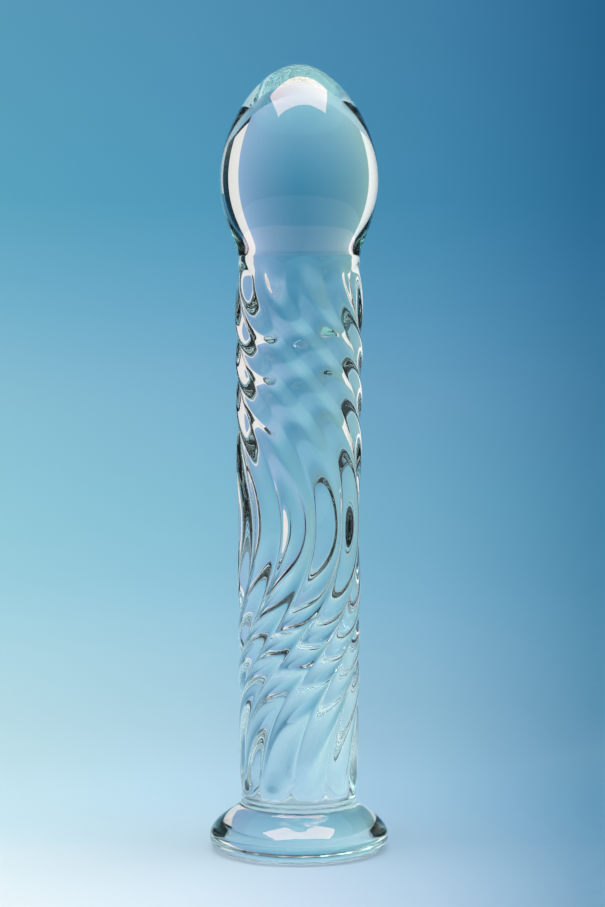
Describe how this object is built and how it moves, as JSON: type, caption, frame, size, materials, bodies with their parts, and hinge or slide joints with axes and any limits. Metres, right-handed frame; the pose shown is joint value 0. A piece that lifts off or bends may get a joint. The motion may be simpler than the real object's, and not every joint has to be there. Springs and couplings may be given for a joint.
{
  "type": "solid glass massage wand",
  "caption": "Solid clear glass massage wand with an egg-shaped head, a rod with twisted ribs that reverse half-way, and a round button foot it stands on.",
  "frame": {"origin": "centre of the foot's flat underside", "axes": "+Z along the wand's axis, from the foot to the tip of the head; +X and +Y lie in the plane it stands on"},
  "size_m": [0.0458, 0.0458, 0.2],
  "materials": {
    "clear_glass": "clear fire-polished borosilicate glass, smooth and glossy all over"
  },
  "bodies": {
    "root": {"foot": "clear_glass", "neck_ring": "clear_glass", "ribbed_shaft": "clear_glass", "head": "clear_glass"}
  },
  "joints": []
}
